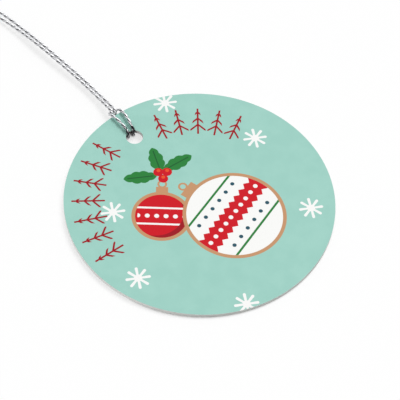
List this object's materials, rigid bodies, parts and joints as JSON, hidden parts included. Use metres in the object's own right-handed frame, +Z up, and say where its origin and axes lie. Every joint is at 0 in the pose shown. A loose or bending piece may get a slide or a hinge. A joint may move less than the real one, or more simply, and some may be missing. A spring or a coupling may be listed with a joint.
{
  "type": "gift tag",
  "caption": "Round laminated card gift tag with a printed face, a plain back to write on, and a silver cord hitched through its hole and knotted into a loop to tie it on.",
  "frame": {"origin": "on the surface that the tag lies on, under the middle of the round card", "axes": "+Z up, out of the printed face; +Y from the card's middle towards the hole and the cord; +X to the right of the hole seen from the face"},
  "size_m": [0.07, 0.1618, 0.0041],
  "materials": {
    "printed_paper": "satin coated paper, mint print",
    "grey_board": "matte grey board, cut edge",
    "plain_paper": "matte uncoated white paper",
    "silver_cord": "silver metallised twisted cord"
  },
  "bodies": {
    "tag": {"face_paper": "printed_paper", "core_board": "grey_board", "back_paper": "plain_paper"},
    "hitch": {"cord_hitch": "silver_cord"},
    "loop": {"cord_leg_left": "silver_cord", "cord_leg_right": "silver_cord", "cord_knot": "silver_cord", "cord_tail_left": "silver_cord", "cord_tail_right": "silver_cord"}
  },
  "joints": [
    {"name": "hitch_turn", "type": "hinge", "parent": "tag", "child": "hitch", "pos_m": [0, 0.02609, 0.00178], "axis": [0, -0.0202, 0.9998], "range_deg": [-5, 17]},
    {"name": "loop_swing", "type": "hinge", "parent": "hitch", "child": "loop", "pos_m": [0.00116, 0.03664, 0.00209], "axis": [0.994, -0.1097, -0.0022], "range_deg": [-90, 90]}
  ]
}
